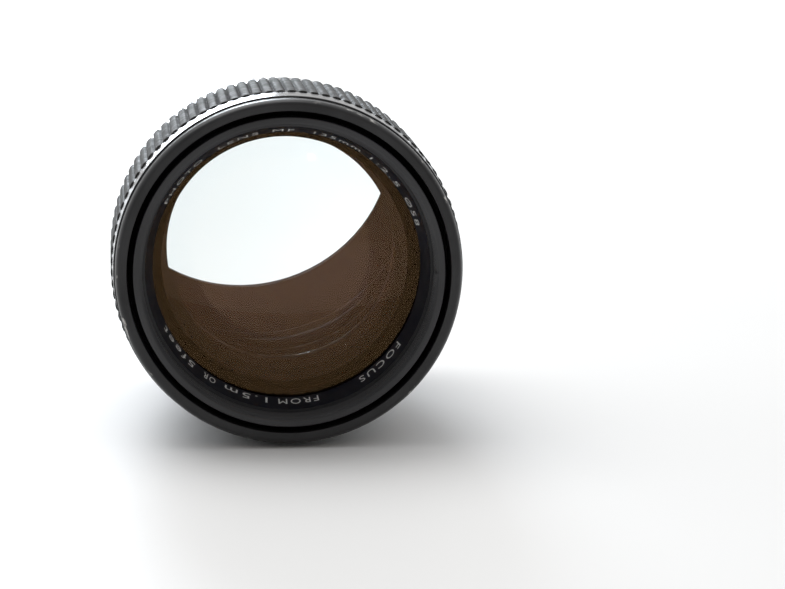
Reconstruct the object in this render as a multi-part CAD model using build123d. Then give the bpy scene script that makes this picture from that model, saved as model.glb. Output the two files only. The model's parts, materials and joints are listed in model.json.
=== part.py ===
from build123d import *
import math
import os

# Prime telephoto lens, 135 mm f/2.5, with a breech-lock camera mount.
#
# The optical axis lies along Y and the front of the lens faces -Y. The origin is the centre of the
# mount flange, the plane that meets the camera. Stations are distances forward of that plane: a
# point at station s has y = -s. Angles run anticlockwise as seen from the front, from +X.
# All sizes are in millimetres.

# ---- driving dimensions ---------------------------------------------------------------------------
LENGTH = 91.0                # flange to the front edge of the filter ring, focused at infinity
FILTER_BORE = 28.6           # crest radius of the 58 mm filter thread
FILTER_RIM = 30.4            # outer radius of the filter ring
FILTER_THREAD = 6.0          # depth of the filter thread
NAME_RING_DROP = 5.25        # how far the name ring slopes back to the glass
SHOULDER_BORE = 28.0         # the bore steps in here behind the thread, and the name ring seats in it
GLASS_EDGE = 26.4            # clear radius of the front element

FOCUS_TRAVEL = 15.0          # forward travel of the optics from infinity to 1.5 m
HOOD_BORE = 31.6             # inside radius of the telescoping hood
HOOD_TUBE_OUTER = 32.6
HOOD_RIM_OUTER = 33.85
HOOD_RIM_DEPTH = 3.8
HOOD_REAR = 58.2             # station of the stowed hood's rear end

FOCUS_FRONT = 86.9           # focus ring: front of the bezel band
GRIP_FRONT = 80.35           # focus ring: front end of the ribs
GRIP_REAR = 51.6             # focus ring: rear end of the ribs
FOCUS_REAR = 44.0            # focus ring: rear edge of the distance scale
FOCUS_BORE = 33.05           # leaves room for the hood tube
HELICOID_OUTER = 31.4
GRIP_SEAT = 33.8
GRIP_CREST = 34.7
GRIP_VALLEY = 34.2
GRIP_RIBS = 96
SCALE_BAND = 33.9            # radius of the smooth distance scale

BARREL_BORE = 28.75          # the lens unit slides in here
BARREL_OUTER = 30.0
BARREL_FRONT = 55.3
BARREL_REAR = 13.4
SLIDING_FIT = 0.05
TURNING_FIT = 0.1
UNIT_BORE = 27.6             # inside of the sliding lens unit, behind the front cell
UNIT_REAR = 30.0
FLANGE_FRONT = 57.2          # collar of the lens unit that the focus ring turns on
FLANGE_REAR = 56.4

SPIGOT_RADIUS = 24.6         # locating spigot that enters the camera
SPIGOT_BORE = 23.2
SPIGOT_LENGTH = 4.0
FLANGE_RADIUS = 27.2
FLANGE_FACE = 26.1           # the face that meets the camera ends inside the breech lugs
FLANGE_RELIEF = 0.3
LEVER_CHAMBER = 26.0
LEVER_INNER = 20.6
LEVER_OUTER = 22.4
LEVER_TIP = -3.0             # station of the lever tips, inside the spigot
BAFFLE_OPENING = 12.0        # light stop in the mount, clear of the f/2.5 cone on the axis

IRIS_BLADES = 8
IRIS_PIVOT = 25.2
IRIS_OPEN = 16.8
IRIS_BLADE_WIDTH = 6.8
IRIS_BLADE_SPAN = 105.0
IRIS_CLOSING = 34.0          # turn of each blade from open to smallest opening, degrees
CAM_TURN = 22.0              # turn of the cam ring for the same travel, degrees
CAM_PIN = (-0.9, 4.4)        # cam pin of a blade, from its pivot
PIN_RADIUS = 0.6
PIN_PLAY = 0.1
BLADE_THICKNESS = 0.12
BLADE_PITCH = 0.28           # each blade lies on a level of its own
FIRST_BLADE = 49.1           # station of the rearmost blade
CAM_REAR = 46.5
CAM_FRONT = 48.1
IRIS_PLATE_REAR = 52.0
IRIS_PLATE_FRONT = 53.4

SIGNAL_ANGLE = 200.0
SIGNAL_TURN = 27.0
STOP_DOWN_ANGLE = 300.0
FORK_ANGLE = 88.0

# Optical surfaces: radius of curvature (positive bulges forward), vertex station.
FRONT_VERTEX = 84.85
SURFACES = {
    "front_element": ((70.0, FRONT_VERTEX), (230.0, 77.2), 27.2, 27.2),
    "second_element": ((40.0, 76.6), (105.0, 69.1), 23.5, 23.5),
    "third_element": ((105.0, 69.05), (38.39, 66.5), 23.5, 19.5),
    "fourth_element": ((85.0, 38.9), (-220.0, 34.9), 17.0, 17.0),
    "fifth_element": ((-45.0, 28.9), (-90.0, 26.4), 15.5, 15.5),
    "sixth_element": ((200.0, 18.9), (78.56, 14.9), 16.0, 16.0),
}

os.makedirs("parts", exist_ok=True)


# ---- shapes ----------------------------------------------------------------------------------------
def keep(name, shape):
    """Write one piece to its own file."""
    export_step(shape, f"parts/{name}.step")


def around(shape, angle):
    """Carry a shape made at angle 0 to another angle about the optical axis."""
    return Rot(0, -angle, 0) * shape


def turned(*profile):
    """A ring turned from corners given as (radius, station)."""
    outline = Polyline([(radius, -station) for radius, station in profile], close=True)
    return revolve(make_face(outline), Axis.Y)


def tube(inner, outer, rear, front):
    """A plain ring between two stations."""
    return turned((inner, rear), (outer, rear), (outer, front), (inner, front))


def sector(inner, outer, rear, front, start, end):
    """A piece of a ring between two angles."""
    section = Polyline([(inner, -rear), (outer, -rear), (outer, -front), (inner, -front)], close=True)
    return around(revolve(make_face(section), Axis.Y, revolution_arc=end - start), end)


def bar(angle, inner, outer, rear, front, left, right):
    """A straight bar along the axis, at one angle, between two sideways offsets."""
    size = Box(outer - inner, front - rear, right - left)
    place = Pos((inner + outer) / 2, -(rear + front) / 2, (left + right) / 2)
    return around(place * size, angle)


def radial_pin(angle, station, radius, inner, outer):
    """A round pin that points straight out from the axis."""
    pin = Pos((inner + outer) / 2, -station, 0) * Rot(0, 90, 0) * Cylinder(radius, outer - inner)
    return around(pin, angle)


def axial_pin(angle, distance, radius, rear, front):
    """A round pin parallel to the axis."""
    pin = Pos(distance, -(rear + front) / 2, 0) * Rot(90, 0, 0) * Cylinder(radius, front - rear)
    return around(pin, angle)


def plate(drawing, rear, front):
    """A flat plate drawn as seen from the front."""
    return extrude(Plane.XZ.offset(rear) * drawing, amount=front - rear)


def polar(radius, angle):
    return (radius * math.cos(math.radians(angle)), radius * math.sin(math.radians(angle)))


def lobed_face(crest, valley, count, lobe_share):
    """An outline of equal rounded lobes with narrow flat valleys between them."""
    pitch = 360.0 / count
    half_lobe = pitch * lobe_share / 2
    edges = []
    for i in range(count):
        middle = i * pitch
        start = polar(valley, middle - half_lobe)
        end = polar(valley, middle + half_lobe)
        edges.append(ThreePointArc(start, polar(crest, middle), end))
        edges.append(Line(end, polar(valley, middle + pitch - half_lobe)))
    return make_face(Curve() + edges)


def ribbed_ring(inner, crest, valley, count, lobe_share, rear, front):
    """A ring with ribs along its outside."""
    return plate(lobed_face(crest, valley, count, lobe_share) - Circle(inner), rear, front)


def sag(curvature, radius):
    """How far a spherical surface falls back from its vertex at a radius."""
    if curvature > 0:
        return curvature - math.sqrt(curvature ** 2 - radius ** 2)
    return curvature + math.sqrt(curvature ** 2 - radius ** 2)


def lens_element(front, back, edge, back_edge):
    """A glass element with two spherical faces and a ground cylindrical edge."""
    front_radius, front_station = front
    back_radius, back_station = back

    def on(radius_of_curve, station, radius):
        return (radius, -(station - sag(radius_of_curve, radius)))

    front_rim = on(front_radius, front_station, edge)
    back_rim = on(back_radius, back_station, back_edge)
    corners = [front_rim, (edge, back_rim[1])]
    if back_edge < edge:
        corners.append(back_rim)
    face_front = ThreePointArc((0, -front_station), on(front_radius, front_station, edge / 2), front_rim)
    face_back = ThreePointArc(back_rim, on(back_radius, back_station, back_edge / 2), (0, -back_station))
    axis = Line((0, -back_station), (0, -front_station))
    outline = Curve() + [face_front, Polyline(*corners), face_back, axis]
    return revolve(make_face(outline), Axis.Y)


# ---- glass -----------------------------------------------------------------------------------------
for name, (front, back, edge, back_edge) in SURFACES.items():
    keep(name, lens_element(front, back, edge, back_edge))

# ---- lens unit: slides along the axis to focus -------------------------------------------------------
name_ring_front = LENGTH - FILTER_THREAD
name_ring_rear = name_ring_front - NAME_RING_DROP
skirt_rear = 79.7
barrel_nose = 84.5

filter_ring = turned(
    (FILTER_BORE, LENGTH), (FILTER_RIM - 0.4, LENGTH), (FILTER_RIM, LENGTH - 0.4),
    (FILTER_RIM, skirt_rear), (29.55, skirt_rear), (29.55, barrel_nose + 0.1),
    (SHOULDER_BORE, barrel_nose + 0.1),
    (SHOULDER_BORE, LENGTH - FILTER_THREAD), (FILTER_BORE, LENGTH - FILTER_THREAD),
)
keep("filter_ring", filter_ring)

name_ring = turned(
    (SHOULDER_BORE - 0.05, name_ring_front), (GLASS_EDGE + 0.05, name_ring_rear + 0.15),
    (GLASS_EDGE + 0.05, name_ring_rear), (SHOULDER_BORE - 0.05, name_ring_rear),
)
keep("name_ring", name_ring)

front_barrel = turned(
    (UNIT_BORE, UNIT_REAR), (BARREL_BORE - SLIDING_FIT, UNIT_REAR),
    (BARREL_BORE - SLIDING_FIT, FLANGE_REAR), (HELICOID_OUTER - TURNING_FIT, FLANGE_REAR),
    (HELICOID_OUTER - TURNING_FIT, FLANGE_FRONT), (30.0, FLANGE_FRONT), (30.0, skirt_rear),
    (29.5, skirt_rear), (29.5, barrel_nose), (SHOULDER_BORE, barrel_nose),
    (SHOULDER_BORE, 58.5), (UNIT_BORE, 58.5),
)
key_width = 4.0
key_rear = 46.0
key_front = 49.0
for angle in (30.0, 210.0):
    half_slot = key_width / 2 + SLIDING_FIT
    front_barrel -= bar(angle, 26.5, 29.5, key_front + 0.5 - 19.0, key_front + 0.5, -half_slot, half_slot)
keep("front_barrel", front_barrel)

guide_rear = 80.5
guide_front = 83.5
felt_rear = 81.3
felt_front = 82.7
hood_guide_ring = turned(
    (FILTER_RIM, guide_rear), (31.3, guide_rear), (31.3, felt_rear), (31.0, felt_rear),
    (31.0, felt_front), (31.3, felt_front), (31.3, guide_front), (FILTER_RIM, guide_front),
)
keep("hood_guide_ring", hood_guide_ring)
keep("hood_felt", tube(31.0, HOOD_BORE - 0.08, felt_rear, felt_front))

front_cell = turned(
    (20.0, 58.5), (SHOULDER_BORE - 0.05, 58.5), (SHOULDER_BORE - 0.05, 79.7),
    (27.25, 79.7), (27.25, 75.5), (24.6, 75.5),
    (24.6, 68.9), (23.55, 68.9), (23.55, 61.1), (20.0, 61.1),
)
keep("front_cell", front_cell)
keep("doublet_retaining_ring", turned((22.9, 69.5), (24.55, 69.25), (24.55, 71.9), (23.6, 71.9)))

# Iris: a pivot plate in front, the blades, and a slotted cam ring behind them.
pivot_angles = [i * 360.0 / IRIS_BLADES for i in range(IRIS_BLADES)]
iris_plate = plate(Circle(UNIT_BORE) - Circle(IRIS_OPEN + 0.4), IRIS_PLATE_REAR, IRIS_PLATE_FRONT)
for angle in pivot_angles:
    iris_plate -= axial_pin(
        angle, IRIS_PIVOT, PIN_RADIUS + PIN_PLAY, IRIS_PLATE_REAR - 1, IRIS_PLATE_FRONT + 1)
keep("iris_base_plate", iris_plate)
keep("iris_retaining_ring", tube(27.0, UNIT_BORE, 44.9, 46.2))


def turned_about_pivot(point, degrees):
    """A point given from the pivot at angle 0, after the blade has turned."""
    turn = math.radians(degrees)
    x = point[0] * math.cos(turn) - point[1] * math.sin(turn)
    z = point[0] * math.sin(turn) + point[1] * math.cos(turn)
    return (IRIS_PIVOT + x, z)


def cam_slot():
    """The opening in the cam ring that the cam pin of the blade at angle 0 runs in."""
    steps = 8
    width = PIN_RADIUS + PIN_PLAY + 0.02
    outer_side = []
    inner_side = []
    for i in range(-1, steps + 2):
        share = min(max(i / steps, 0.0), 1.0)
        x, z = turned_about_pivot(CAM_PIN, IRIS_CLOSING * share)
        radius = math.hypot(x, z)
        angle = math.degrees(math.atan2(z, x)) + CAM_TURN * share
        if i < 0:
            angle -= math.degrees(width / radius)
        if i > steps:
            angle += math.degrees(width / radius)
        outer_side.append(polar(radius + width, angle))
        inner_side.append(polar(radius - width, angle))
    return make_face(Polyline(outer_side + inner_side[::-1], close=True))


cam_face = Circle(UNIT_BORE - TURNING_FIT) - Circle(19.0)
for angle in pivot_angles:
    cam_face -= Rot(0, 0, angle) * cam_slot()
iris_cam = plate(cam_face, CAM_REAR, CAM_FRONT)
iris_cam += bar(FORK_ANGLE, 24.8, 26.4, 26.0, CAM_REAR, -1.5, 1.5)
keep("iris_cam", iris_cam)


def blade_outline():
    """A crescent, open position, with the ear that carries its two pins."""
    outer = IRIS_OPEN + IRIS_BLADE_WIDTH
    far = IRIS_BLADE_SPAN
    crescent = make_face(Curve() + [
        ThreePointArc(polar(IRIS_OPEN, -4), polar(IRIS_OPEN, far / 2), polar(IRIS_OPEN, far)),
        ThreePointArc(polar(IRIS_OPEN, far), polar(IRIS_OPEN + IRIS_BLADE_WIDTH / 2, far + 7),
                      polar(outer, far)),
        ThreePointArc(polar(outer, far), polar(outer, far / 2), polar(outer, -4)),
        Line(polar(outer, -4), polar(IRIS_OPEN, -4)),
    ])
    ear = make_face(Polyline(
        [polar(outer - 1, -4), polar(26.2, -3), polar(26.2, 4), polar(25.6, 12.5), polar(outer - 1, 14)],
        close=True))
    return crescent + ear


for number, angle in enumerate(pivot_angles, 1):
    level = FIRST_BLADE + BLADE_PITCH * (number - 1)
    blade = plate(blade_outline(), level, level + BLADE_THICKNESS)
    cam_x, cam_z = turned_about_pivot(CAM_PIN, 0)
    blade += axial_pin(0, IRIS_PIVOT, PIN_RADIUS, level, IRIS_PLATE_FRONT - 0.2)
    blade += axial_pin(math.degrees(math.atan2(cam_z, cam_x)), math.hypot(cam_x, cam_z),
                       PIN_RADIUS, CAM_REAR + 0.4, level + BLADE_THICKNESS)
    keep(f"iris_blade_{number}", around(blade, angle))

rear_cell = turned(
    (14.6, 12.5), (19.5, 12.5), (19.5, 43.0), (UNIT_BORE, 43.0), (UNIT_BORE, 44.6), (17.6, 44.6),
    (17.6, 40.4), (17.05, 40.4), (17.05, 35.2), (15.55, 35.2), (15.55, 27.2), (16.05, 27.2),
    (16.05, 13.1), (14.6, 13.1),
)
rear_cell -= sector(24.4, 26.8, 42.0, 46.0, FORK_ANGLE - CAM_TURN - 8, FORK_ANGLE + 8)
keep("rear_cell", rear_cell)
keep("rear_spacer", tube(15.1, 16.0, 18.45, 27.1))
keep("rear_group_retaining_ring", turned(
    (16.3, 37.6), (17.0, 37.35), (17.0, 40.4), (17.55, 40.4), (17.55, 42.0), (16.3, 42.0)))

# ---- focus ring: turns on the lens unit's collar and screws along the fixed barrel --------------------
focus_sleeve = turned(
    (FOCUS_BORE, FOCUS_FRONT), (34.0, FOCUS_FRONT), (34.2, FOCUS_FRONT - 0.25),
    (34.4, GRIP_FRONT + 0.15), (34.25, GRIP_FRONT), (GRIP_SEAT, GRIP_FRONT), (GRIP_SEAT, GRIP_REAR),
    (SCALE_BAND - 0.15, GRIP_REAR), (SCALE_BAND, GRIP_REAR - 0.15), (SCALE_BAND, FOCUS_REAR + 0.3),
    (SCALE_BAND - 0.3, FOCUS_REAR), (HELICOID_OUTER, FOCUS_REAR), (HELICOID_OUTER, FLANGE_FRONT + 0.15),
    (31.0, FLANGE_FRONT + 0.15), (31.0, HOOD_REAR - 0.2), (FOCUS_BORE, HOOD_REAR - 0.2),
)
screw_angles = [0.0, 120.0, 240.0]
screw_station = 54.0
for angle in screw_angles:
    focus_sleeve -= radial_pin(angle + 15, screw_station, 0.9, 31.0, 35.0)
keep("focus_sleeve", focus_sleeve)

focus_grip = ribbed_ring(
    GRIP_SEAT, GRIP_CREST, GRIP_VALLEY, GRIP_RIBS, 0.8, GRIP_REAR + 0.1, GRIP_FRONT - 0.1)
keep("focus_grip", focus_grip)

helicoid_rear = 33.3
focus_helicoid = tube(BARREL_OUTER + SLIDING_FIT, HELICOID_OUTER, helicoid_rear, FLANGE_REAR - 0.15)
for angle in screw_angles:
    focus_helicoid -= radial_pin(angle + 15, screw_station, 0.9, 30.6, 35.0)
keep("focus_helicoid", focus_helicoid)
keep("focus_set_screws", Compound([
    radial_pin(angle + 15, screw_station, 0.9, 30.6, GRIP_SEAT - 0.1) for angle in screw_angles]))

# ---- hood: telescopes over the front barrel ------------------------------------------------------------
hood_tube = turned(
    (30.8, HOOD_REAR), (HOOD_TUBE_OUTER, HOOD_REAR), (HOOD_TUBE_OUTER, LENGTH - 1.0),
    (HOOD_BORE, LENGTH - 1.0), (HOOD_BORE, HOOD_REAR + 1.2), (30.8, HOOD_REAR + 1.2),
)
keep("hood_tube", hood_tube)

rim_rear = LENGTH - HOOD_RIM_DEPTH
hood_rim = turned(
    (HOOD_BORE + 0.1, LENGTH), (HOOD_BORE + 1.2, LENGTH), (33.3, LENGTH - 0.4), (33.65, LENGTH - 1.0),
    (HOOD_RIM_OUTER, LENGTH - 1.9), (HOOD_RIM_OUTER, rim_rear), (HOOD_TUBE_OUTER, rim_rear),
    (HOOD_TUBE_OUTER, LENGTH - 1.0), (HOOD_BORE, LENGTH - 1.0), (HOOD_BORE, LENGTH - 0.1),
)
keep("hood_rim", hood_rim)

# ---- fixed barrel and its scale ------------------------------------------------------------------------
detent_station = 25.5
detent_angle = 150.0
fixed_barrel = tube(BARREL_BORE, BARREL_OUTER, BARREL_REAR, BARREL_FRONT)
for angle in (30.0, 210.0):
    fixed_barrel -= bar(angle, 28.0, 31.0, key_rear, key_front, -key_width / 2, key_width / 2)
for angle in screw_angles:
    fixed_barrel -= radial_pin(angle + 45, 14.4, 0.8, 28.0, 32.0)
fixed_barrel -= radial_pin(detent_angle, detent_station, 0.8, 28.0, 31.0)
keep("fixed_barrel", fixed_barrel)

keep("guide_keys", Compound([
    bar(angle, 27.85, BARREL_OUTER - 0.15, key_rear, key_front, -key_width / 2, key_width / 2)
    for angle in (30.0, 210.0)]))

scale_rear = 31.5
scale_front = 43.7
scale_bore = 31.75
scale_outer = 32.8
scale_ring = turned(
    (BARREL_OUTER, scale_rear), (scale_outer - 0.3, scale_rear), (scale_outer, scale_rear + 0.3),
    (scale_outer, scale_front - 0.3), (scale_outer - 0.3, scale_front), (scale_bore, scale_front),
    (scale_bore, scale_rear + 1.3), (BARREL_OUTER, scale_rear + 1.3),
)
keep("scale_ring", scale_ring)

# ---- aperture ring with its lock button ------------------------------------------------------------------
aperture_rear = 19.5
aperture_front = 31.2
scallop_front = 27.0
aperture_bore = BARREL_OUTER + 0.06
aperture_band = turned(
    (aperture_bore, scallop_front), (32.0, scallop_front), (32.4, scallop_front + 0.4),
    (32.4, aperture_front - 0.3), (32.1, aperture_front), (aperture_bore, aperture_front),
)
aperture_scallops = ribbed_ring(aperture_bore, 31.8, 31.3, 30, 0.62, aperture_rear, scallop_front)
aperture_ring = aperture_band + aperture_scallops
button_angle = 312.0
button_station = 29.1
button_radius = 1.4
aperture_ring -= radial_pin(button_angle, button_station, button_radius + 0.05, 30.6, 34.0)
keep("aperture_ring", aperture_ring)
keep("aperture_lock_button", radial_pin(button_angle, button_station, button_radius, 31.4, 32.9))

keep("detent_ball", around(Pos(29.2, -detent_station, 0) * Sphere(0.75), detent_angle))
detent_leaf = sector(
    28.15, 28.4, detent_station - 1.5, detent_station + 1.5, detent_angle - 14, detent_angle + 14)
keep("detent_spring", detent_leaf)

# ---- rear of the lens ----------------------------------------------------------------------------------
keep("rear_ring", turned(
    (BARREL_OUTER, BARREL_REAR), (30.9, BARREL_REAR), (31.1, BARREL_REAR + 0.2),
    (31.1, aperture_rear - 0.5), (30.9, aperture_rear - 0.3), (BARREL_OUTER, aperture_rear - 0.3),
))

baffle_rear = 3.2
baffle_front = 4.2
mount_base = turned(
    (SPIGOT_BORE, -SPIGOT_LENGTH), (SPIGOT_RADIUS - 0.3, -SPIGOT_LENGTH),
    (SPIGOT_RADIUS, 0.3 - SPIGOT_LENGTH), (SPIGOT_RADIUS, 0),
    (FLANGE_FACE, 0), (FLANGE_FACE, FLANGE_RELIEF), (FLANGE_RADIUS, FLANGE_RELIEF),
    (FLANGE_RADIUS, BARREL_REAR), (BARREL_BORE, BARREL_REAR), (BARREL_BORE, BARREL_REAR + 2.0),
    (LEVER_CHAMBER, BARREL_REAR + 2.0), (LEVER_CHAMBER, baffle_rear), (SPIGOT_BORE, baffle_rear),
)
for angle in screw_angles:
    mount_base -= radial_pin(angle + 45, 14.4, 0.8, 27.0, 32.0)
    mount_base -= axial_pin(angle + 20, 24.6, 0.6, 1.2, 5.0)
keep("mount_base", mount_base)
keep("mount_screws", Compound([
    radial_pin(angle + 45, 14.4, 0.8, 27.0, BARREL_OUTER - 0.1) for angle in screw_angles]))

baffle = tube(BAFFLE_OPENING, LEVER_CHAMBER - 0.1, baffle_rear, baffle_front)
for angle, turn in ((SIGNAL_ANGLE, SIGNAL_TURN), (STOP_DOWN_ANGLE, CAM_TURN)):
    baffle -= sector(LEVER_INNER - 0.4, LEVER_OUTER + 0.35, 2.0, 5.0, angle - turn - 8, angle + 8)
for angle in screw_angles:
    baffle -= axial_pin(angle + 20, 24.6, 0.6, 2.0, 5.0)
keep("rear_baffle", baffle)
keep("baffle_screws", Compound([
    axial_pin(angle + 20, 24.6, 0.6, 1.2, baffle_front) + axial_pin(angle + 20, 24.6, 1.1, baffle_front, 4.7)
    for angle in screw_angles]))


def mount_lever(angle, rear, front):
    """A ring in the lever chamber with an arm that reaches in and back through the baffle."""
    ring = tube(24.4, LEVER_CHAMBER - TURNING_FIT, rear, front)
    arm = bar(angle, LEVER_INNER, 24.7, rear, front, -1.5, 1.5)
    tab = bar(angle, LEVER_INNER, LEVER_OUTER, LEVER_TIP, front, -1.5, 1.5)
    return ring + arm + tab


keep("signal_lever", mount_lever(SIGNAL_ANGLE, 5.0, 7.0))
stop_down_lever = mount_lever(STOP_DOWN_ANGLE, 9.0, 11.0)
for left, right in ((-3.2, -1.6), (1.6, 3.2)):
    stop_down_lever += bar(FORK_ANGLE, 24.6, 25.8, 10.5, 42.6, left, right)
keep("stop_down_lever", stop_down_lever)
keep("lever_spacer_ring", tube(25.0, LEVER_CHAMBER, 7.2, 8.8))
lever_retaining_ring = tube(25.0, LEVER_CHAMBER, 11.2, 12.4)
lever_retaining_ring -= sector(24.0, 28.0, 11.0, 13.0, FORK_ANGLE - CAM_TURN - 14, FORK_ANGLE + 14)
keep("lever_retaining_ring", lever_retaining_ring)

breech_bore = 28.3
breech_front = 13.1
breech_rear = -2.2
breech_outer = 30.2
breech_tail = 29.4
breech_ring = turned(
    (FLANGE_RADIUS + 0.06, 10.0), (breech_bore, 10.0), (breech_bore, breech_rear),
    (breech_tail - 0.4, breech_rear), (breech_tail, breech_rear + 0.4), (breech_outer, 5.4),
    (breech_outer, breech_front - 0.3), (breech_outer - 0.3, breech_front),
    (FLANGE_RADIUS + 0.06, breech_front),
)
breech_ring += ribbed_ring(29.5, breech_outer + 0.5, breech_outer + 0.1, 90, 0.7, 5.4, 12.2)
for angle in (30.0, 150.0, 270.0):
    breech_ring += sector(26.3, breech_bore + 0.2, breech_rear, breech_rear + 1.5, angle - 24, angle + 24)
dot_station = 1.6
dot_floor = 28.9
breech_ring -= radial_pin(90.0, dot_station, 1.2, dot_floor, 31.0)
keep("breech_ring", breech_ring)
keep("breech_index_dot", radial_pin(90.0, dot_station, 1.2, dot_floor, 29.85))
keep("breech_retaining_ring", tube(FLANGE_RADIUS, breech_bore - 0.3, 8.4, 9.7))
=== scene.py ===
import json
import math

import bmesh
import bpy
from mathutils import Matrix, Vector


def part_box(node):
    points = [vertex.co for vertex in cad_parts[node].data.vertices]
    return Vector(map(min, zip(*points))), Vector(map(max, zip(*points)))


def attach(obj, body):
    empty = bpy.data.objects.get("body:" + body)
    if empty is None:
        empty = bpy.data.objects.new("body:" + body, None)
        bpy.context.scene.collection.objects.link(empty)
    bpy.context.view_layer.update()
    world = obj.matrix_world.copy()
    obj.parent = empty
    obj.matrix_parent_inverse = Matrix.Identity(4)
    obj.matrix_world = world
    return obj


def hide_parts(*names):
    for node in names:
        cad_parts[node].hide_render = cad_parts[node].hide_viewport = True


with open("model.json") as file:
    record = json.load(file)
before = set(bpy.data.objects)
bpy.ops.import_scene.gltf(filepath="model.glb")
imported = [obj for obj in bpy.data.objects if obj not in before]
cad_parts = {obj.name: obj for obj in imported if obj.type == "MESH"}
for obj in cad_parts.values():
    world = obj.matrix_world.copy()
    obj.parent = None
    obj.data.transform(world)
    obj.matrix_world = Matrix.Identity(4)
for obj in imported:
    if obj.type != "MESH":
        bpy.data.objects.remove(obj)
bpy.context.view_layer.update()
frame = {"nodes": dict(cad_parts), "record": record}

# Visible meshes for a prime telephoto lens. Lengths are millimetres, and MM turns them into metres,
# except in the last section and in the depths of bumps, which are metres. A station is a distance
# forward of the mount flange, so y = -station. Angles run anticlockwise as seen from the front, from +X.
MM = 0.001
AROUND = 256                 # steps around a plain ring


# ---- sizes, read from the frame ----------------------------------------------------------------------
def rear_of(node):
    return -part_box(node)[1].y / MM


def front_of(node):
    return -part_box(node)[0].y / MM


def reach_of(node):
    low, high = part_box(node)
    return max(abs(low.z), abs(high.z), abs(low.x), abs(high.x)) / MM


LENGTH = front_of("filter_ring")
RIM_OUTER = reach_of("filter_ring")
THREAD_CREST = 28.6
THREAD_ROOT = 29.0
THREAD_PITCH = 0.75
SHOULDER_BORE = 28.0         # the step behind the thread that the name ring seats in
BARREL_NOSE = 84.6           # where the filter ring meets the front barrel
NAME_FRONT = front_of("name_ring")
NAME_REAR = rear_of("name_ring")
NAME_OUTER = reach_of("name_ring")
GLASS_EDGE = 26.45
HOOD_BORE = 31.6
HOOD_OUTER = reach_of("hood_tube")
SCALE_RADIUS = 33.9
SLEEVE_FRONT = front_of("focus_sleeve")
SLEEVE_REAR = rear_of("focus_sleeve")
GRIP_REAR = rear_of("focus_grip")
GRIP_FRONT = front_of("focus_grip")
FOCUS_TURN = 200.0           # degrees from infinity to the closest distance
MARK_LIFT = 0.014            # how far paint in a mark stands above its surface
MARK_SINK = 0.02


# ---- materials ---------------------------------------------------------------------------------------
def shader(name, color, roughness, metallic=0.0, specular=0.5):
    """A Principled material with its constant values on the shader's own sockets."""
    made = bpy.data.materials.new(name)
    made.use_nodes = True
    principled = made.node_tree.nodes["Principled BSDF"]
    principled.inputs["Base Color"].default_value = (*color, 1)
    principled.inputs["Roughness"].default_value = roughness
    principled.inputs["Metallic"].default_value = metallic
    principled.inputs["Specular IOR Level"].default_value = specular
    return made, principled


def node(made, kind, **settings):
    """Add a node to a material."""
    added = made.node_tree.nodes.new(kind)
    for key, value in settings.items():
        setattr(added, key, value)
    return added


def link(made, source, target):
    made.node_tree.links.new(source, target)


def noise(made, scale, detail=4.0, stretch=None):
    """Noise fixed to the object. scale counts features per metre."""
    place = node(made, "ShaderNodeTexCoord")
    source = place.outputs["Object"]
    if stretch:
        mapping = node(made, "ShaderNodeMapping")
        mapping.inputs["Scale"].default_value = stretch
        link(made, source, mapping.inputs["Vector"])
        source = mapping.outputs["Vector"]
    texture = node(made, "ShaderNodeTexNoise")
    texture.inputs["Scale"].default_value = scale
    texture.inputs["Detail"].default_value = detail
    link(made, source, texture.inputs["Vector"])
    return texture.outputs["Fac"]


def spread(made, value, low, high, start=0.35, end=0.65):
    """Map a noise value to a range."""
    mapped = node(made, "ShaderNodeMapRange")
    mapped.inputs["From Min"].default_value = start
    mapped.inputs["From Max"].default_value = end
    mapped.inputs["To Min"].default_value = low
    mapped.inputs["To Max"].default_value = high
    link(made, value, mapped.inputs["Value"])
    return mapped.outputs["Result"]


def tint(made, principled, value, dark, light):
    """Colour variation between two tones."""
    mix = node(made, "ShaderNodeMix", data_type="RGBA")
    link(made, value, mix.inputs["Factor"])
    mix.inputs["A"].default_value = (*dark, 1)
    mix.inputs["B"].default_value = (*light, 1)
    link(made, mix.outputs["Result"], principled.inputs["Base Color"])
    return mix


def bump(made, principled, value, depth, strength=1.0):
    """Raise the surface by up to depth metres."""
    raised = node(made, "ShaderNodeBump")
    raised.inputs["Strength"].default_value = strength
    raised.inputs["Distance"].default_value = depth
    link(made, value, raised.inputs["Height"])
    link(made, raised.outputs["Normal"], principled.inputs["Normal"])


def radial_distance(made):
    """Distance from the optical axis, in metres."""
    place = node(made, "ShaderNodeTexCoord")
    flatten = node(made, "ShaderNodeVectorMath", operation="MULTIPLY")
    flatten.inputs[1].default_value = (1, 0, 1)
    length = node(made, "ShaderNodeVectorMath", operation="LENGTH")
    link(made, place.outputs["Object"], flatten.inputs[0])
    link(made, flatten.outputs["Vector"], length.inputs[0])
    return length.outputs["Value"]


def painted(name, color, roughness, grain=0.000006, specular=0.5):
    """Black paint or anodising: fine grain, faint cloudiness and handling marks."""
    made, principled = shader(name, color, roughness, specular=specular)
    cloud = noise(made, 60, 6)
    lighter = tuple(c * 1.45 + 0.002 for c in color)
    darker = tuple(c * 0.8 for c in color)
    tint(made, principled, spread(made, cloud, 0, 1), darker, lighter)
    smear = noise(made, 240, 5)
    link(made, spread(made, smear, roughness * 0.82, roughness * 1.25), principled.inputs["Roughness"])
    bump(made, principled, noise(made, 9000, 2), grain)
    return made


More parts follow.
